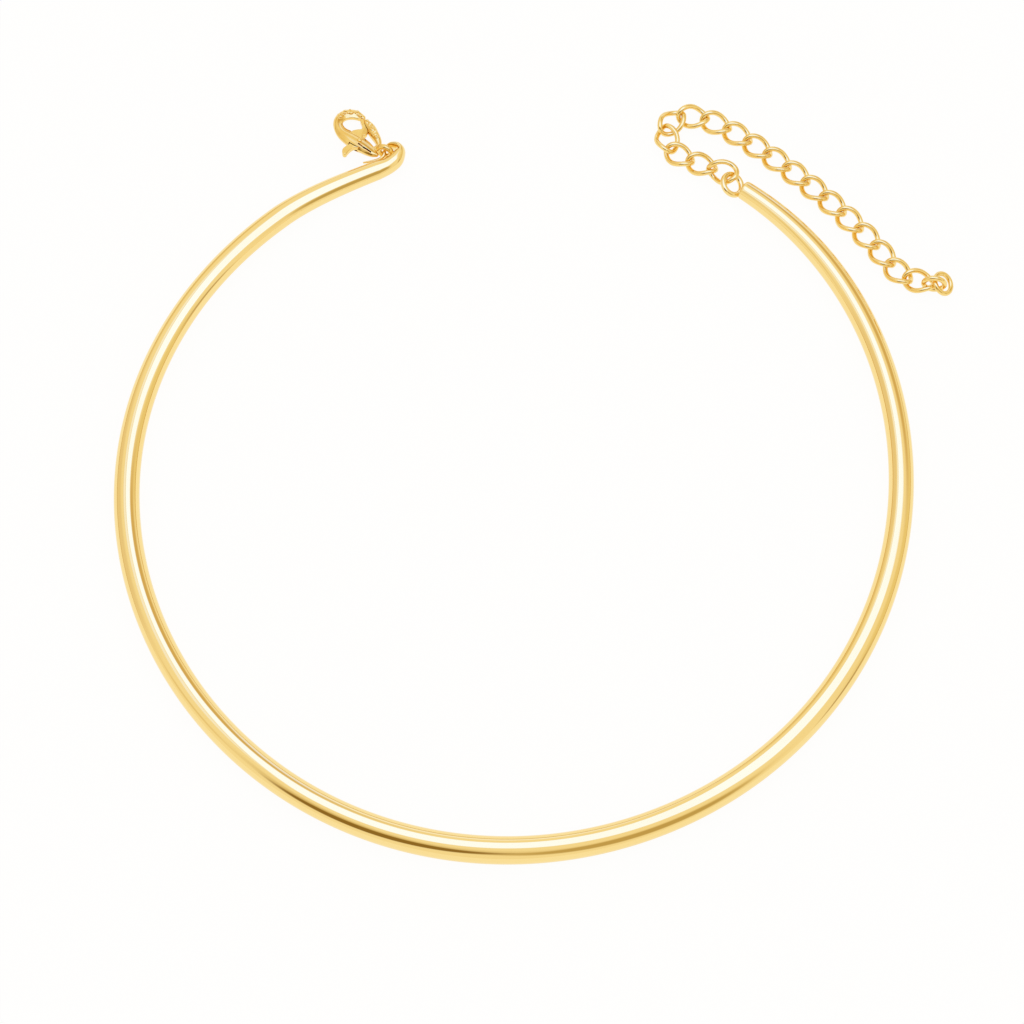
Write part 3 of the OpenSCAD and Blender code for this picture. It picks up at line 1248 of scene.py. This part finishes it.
    def lever(self) -> bpy.types.Object:
        """Cuts the lever with its finger and thumb tab, and rounds its edges.

        Returns:
            The lever as one piece.
        """
        form = self._lever_blank(0.0, self.lever_thickness)
        bmesh.ops.recalc_face_normals(form.bm, faces=form.bm.faces)
        rims = [edge for edge in form.bm.edges if edge.calc_face_angle(0.0) > math.radians(self.rim_degrees)]
        bmesh.ops.bevel(
            form.bm, geom=rims, offset=self.lever_rounding, offset_type="OFFSET", affect="EDGES",
            segments=4, profile=0.5, material=-1, clamp_overlap=True,
        )
        return form.turned(self.place()).finished("clasp_lever_piece", self.lever_sharp_degrees)

    def rivet(self) -> bpy.types.Object:
        """Turns the pin, its two heads domed and filed flush.

        Returns:
            The pin as one piece.
        """
        radius, flank = self.rivet_diameter / 2, self.rivet_length / 2 - self.rivet_dome
        turns = [math.radians(s) for s in self.head_angles]
        dome = [(math.sin(t) * radius, self.rivet_dome * math.cos(t)) for t in turns]
        rings = [(r, -flank - z) for r, z in dome] + [(r, flank + z) for r, z in reversed(dome)]
        sections = [Section(self.pivot + UP * z, X_AXIS, Y_AXIS, r, r) for r, z in rings]
        return Form().sweep(sections, self.rivet_sides).turned(self.place()).finished("clasp_rivet_pin")

    def build(self, finishes: Finishes) -> None:
        """Builds and dresses the body, the lever and the rivet.

        Args:
            finishes: the finishes to use.
        """
        finishes.dress(self.body(), Slot.CAST, NECKLACE, ["clasp_body"])
        finishes.dress(self.lever(), Slot.CAST, LEVER, ["clasp_lever"])
        finishes.dress(self.rivet(), Slot.CAST, NECKLACE, ["clasp_rivet"])


@dataclass(frozen=True)
class Card:
    """A soft oval card of the studio.

    It is laid out in degrees from the zenith, x to the right and y away from the camera. Its light is even
    out to the share core of its reach, and fades from there.
    """

    x: float
    y: float
    half_width: float
    half_depth: float
    turn: float
    core: float
    light: tuple[float, float, float]


# x, y, half width, half depth, turn, core and light of each card
CARDS = (
    Card(-78, 15, 40, 42, 0, 0.5, (0.84, 0.75, 0.60)),
    Card(82, 22, 40, 42, 0, 0.5, (0.85, 0.76, 0.50)),
    Card(30, 47, 42, 21, -33, 0.35, (0.68, 0.52, 0.27)),
    Card(0, 76, 58, 9, 0, 0.4, (1.0, 1.08, 1.45)),
    Card(18, 69, 12, 8, 0, 0.4, (0.88, 0.98, 1.7)),
    Card(-18, -36, 36, 25, 6, 0.0, (0.60, 0.47, 0.22)),
    Card(34, -40, 42, 26, 8, 0.0, (0.76, 0.63, 0.36)),
    Card(-18, -46, 31, 18, 6, 0.6, (0.28, 0.18, 0.05)),
    Card(32, -46, 36, 22, 8, 0.5, (0.56, 0.44, 0.22)),
    Card(80, -12, 8, 18, 10, 0.3, (0.52, 0.42, 0.30)),
    Card(-55, 55, 34, 13, 45, 0.3, (0.80, 0.68, 0.43)),
    Card(-58, -27, 22, 10, -25, 0.2, (0.82, 0.72, 0.52)),
)


@dataclass(frozen=True)
class Panel:
    """A soft level light above the necklace, its far right corner cut off, in millimetres."""

    name: str
    left: float
    right: float
    near: float
    far: float
    height: float
    edge: float
    corner: float
    light: tuple[float, float, float]

    def material(self) -> bpy.types.Material:
        """Builds the panel's glow, which fades out at its edges.

        Returns:
            The material.
        """
        made, tree = fresh_material(self.name)
        x, y, _ = tree.parts(tree.place())
        share = 1.0
        for value, low, high in ((x, self.left, self.right), (y, self.near, self.far)):
            rise = tree.step(value, low * MM, (low + self.edge) * MM)
            fall = tree.step(value, (high - self.edge) * MM, high * MM, 1.0, 0.0)
            share = tree.math("MULTIPLY", share, tree.math("MULTIPLY", rise, fall))
        slant = tree.math("ADD", *(tree.math("MULTIPLY", v, k) for v, k in zip((x, y), CORNER_CUT)))
        cut = tree.step(slant, (self.corner - 2 * self.edge) * MM, self.corner * MM, 1.0, 0.0)
        share = tree.math("MULTIPLY", share, cut)
        glow = tree.node("ShaderNodeEmission", {"Color": (*self.light, 1)})
        clear = tree.node("ShaderNodeBsdfTransparent")
        both = tree.node("ShaderNodeMixShader", {0: share, 1: clear.outputs[0], 2: glow.outputs[0]})
        tree.node("ShaderNodeOutputMaterial", {"Surface": both.outputs[0]})
        return made

    def build(self) -> None:
        """Hangs the panel, which only polished metal sees."""
        form = Form()
        bmesh.ops.create_grid(form.bm, x_segments=1, y_segments=1, size=0.5)
        bmesh.ops.scale(form.bm, vec=(self.right - self.left, self.far - self.near, 1), verts=form.bm.verts)
        middle = Vector(((self.left + self.right) / 2, (self.near + self.far) / 2, self.height))
        bmesh.ops.translate(form.bm, verts=form.bm.verts, vec=middle)
        panel = form.finished(self.name)
        panel.data.materials.append(self.material())
        panel.visible_camera = panel.visible_diffuse = panel.visible_shadow = False


# name, left, right, near, far, height, width of the fading edge, how far out the corner is cut, and light
PANELS = (
    Panel("overhead_panel", -97, 182, -74, 222, 240, 22, 176, (1.05, 1.34, 2.7)),
    Panel("side_panel", -185, -90, -66, 190, 242, 22, 176, (0.98, 1.08, 1.6)),
)


@dataclass
class Studio:
    """A white sweep under a tent of soft cards, in metres and degrees, with the lens in millimetres.

    The horizon's tone comes in between two angles from the zenith, away from the camera.
    """

    floor_reach: float = 1.5
    floor_glow: float = 0.94
    floor_albedo: float = 0.07
    floor_height: float = -0.00008
    wall: tuple[float, float, float] = (0.95, 0.91, 0.81)
    horizon: tuple[float, float, float] = (0.64, 0.45, 0.20)
    horizon_angles: tuple[float, float] = (83.0, 88.0)
    horizon_away: tuple[float, float] = (-0.4, 0.1)
    backdrop: tuple[float, float, float] = (0.97, 0.97, 0.97)
    target: Vector = field(default_factory=lambda: Vector((-0.09, -6.16, 0.0)) * MM)
    camera_distance: float = 0.5
    camera_elevation: float = 68.5
    camera_swing: float = 7.5
    lens: float = 103.8
    sensor: float = 36.0

    def floor(self) -> None:
        """Lays the floor, whose own glow fades the shadows on it."""
        form = Form()
        bmesh.ops.create_grid(form.bm, x_segments=1, y_segments=1, size=self.floor_reach / MM)
        bmesh.ops.translate(form.bm, verts=form.bm.verts, vec=UP * (self.floor_height / MM))
        floor = form.finished("studio_floor")
        made = bpy.data.materials.new("white_sweep")
        made.use_nodes = True
        shader = made.node_tree.nodes["Principled BSDF"]
        for key, value in (
            ("Base Color", (self.floor_albedo,) * 3 + (1,)), ("Roughness", 1.0), ("Specular IOR Level", 0.0),
            ("Emission Color", (1, 1, 1, 1)), ("Emission Strength", self.floor_glow),
        ):
            shader.inputs[key].default_value = value
        floor.data.materials.append(made)

    def surroundings(self) -> None:
        """Lights the studio from its walls and cards."""
        world = bpy.data.worlds.new("soft_studio")
        bpy.context.scene.world = world
        world.use_nodes = True
        world.node_tree.nodes.clear()
        tree = Tree(world.node_tree)
        x, y, z = tree.parts(tree.node("ShaderNodeTexCoord").outputs["Generated"])
        zenith = tree.math("DEGREES", tree.math("ARCCOSINE", z))
        level_squared = tree.math("SUBTRACT", 1.0, tree.math("MULTIPLY", z, z))
        level = tree.math("SQRT", tree.math("MAXIMUM", level_squared, 0.000001))
        scale = tree.math("DIVIDE", zenith, level)
        spread = tree.node(
            "ShaderNodeCombineXYZ", {0: tree.math("MULTIPLY", x, scale), 1: tree.math("MULTIPLY", y, scale)}
        ).outputs[0]
        color = (*self.wall, 1)
        for card in CARDS:
            place = tree.node(
                "ShaderNodeMapping",
                {
                    "Vector": spread, "Location": (card.x, card.y, 0),
                    "Rotation": (0, 0, math.radians(card.turn)),
                    "Scale": (card.half_width, card.half_depth, 1),
                },
                vector_type="TEXTURE",
            ).outputs[0]
            reach = tree.node("ShaderNodeVectorMath", {0: place}, operation="LENGTH").outputs["Value"]
            color = tree.blend(tree.step(reach, card.core, 1.0, 1.0, 0.0), color, (*card.light, 1))
        low, away = tree.step(zenith, *self.horizon_angles), tree.step(y, *self.horizon_away)
        color = tree.blend(tree.math("MULTIPLY", low, away), color, (*self.horizon, 1))
        seen = tree.node("ShaderNodeLightPath").outputs["Is Camera Ray"]
        color = tree.blend(seen, color, (*self.backdrop, 1))
        background = tree.node("ShaderNodeBackground", {"Color": color, "Strength": 1.0})
        tree.node("ShaderNodeOutputWorld", {"Surface": background.outputs[0]})

    def camera(self) -> None:
        """Stands the camera at the photograph's viewing angle."""
        up, swing = math.radians(self.camera_elevation), math.radians(self.camera_swing)
        eye = Vector((math.cos(up) * math.sin(swing), -math.cos(up) * math.cos(swing), math.sin(up)))
        data = bpy.data.cameras.new("photo_camera")
        data.lens, data.sensor_width = self.lens, self.sensor
        data.clip_start, data.clip_end = 0.01, 10.0
        camera = bpy.data.objects.new("photo_camera", data)
        camera.location = self.target + eye * self.camera_distance
        camera.rotation_euler = eye.to_track_quat("Z", "Y").to_euler()
        bpy.context.scene.collection.objects.link(camera)
        bpy.context.scene.camera = camera

    def build(self) -> None:
        """Sets up the floor, the light, the camera and the picture's plain tone curve."""
        self.floor()
        self.surroundings()
        for panel in PANELS:
            panel.build()
        self.camera()
        bpy.context.scene.view_settings.view_transform = "Standard"


def main() -> None:
    """Builds the studio and every piece of the necklace."""
    logging.basicConfig(level=logging.INFO, format="%(name)s: %(message)s")
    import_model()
    Studio().build()
    finishes = Finishes()
    finishes.dress(CollarTube().build(), Slot.TUBE, NECKLACE, ["collar"])
    CurbChain().build(finishes)
    LobsterClasp().build(finishes)


if __name__ == "__main__":
    main()
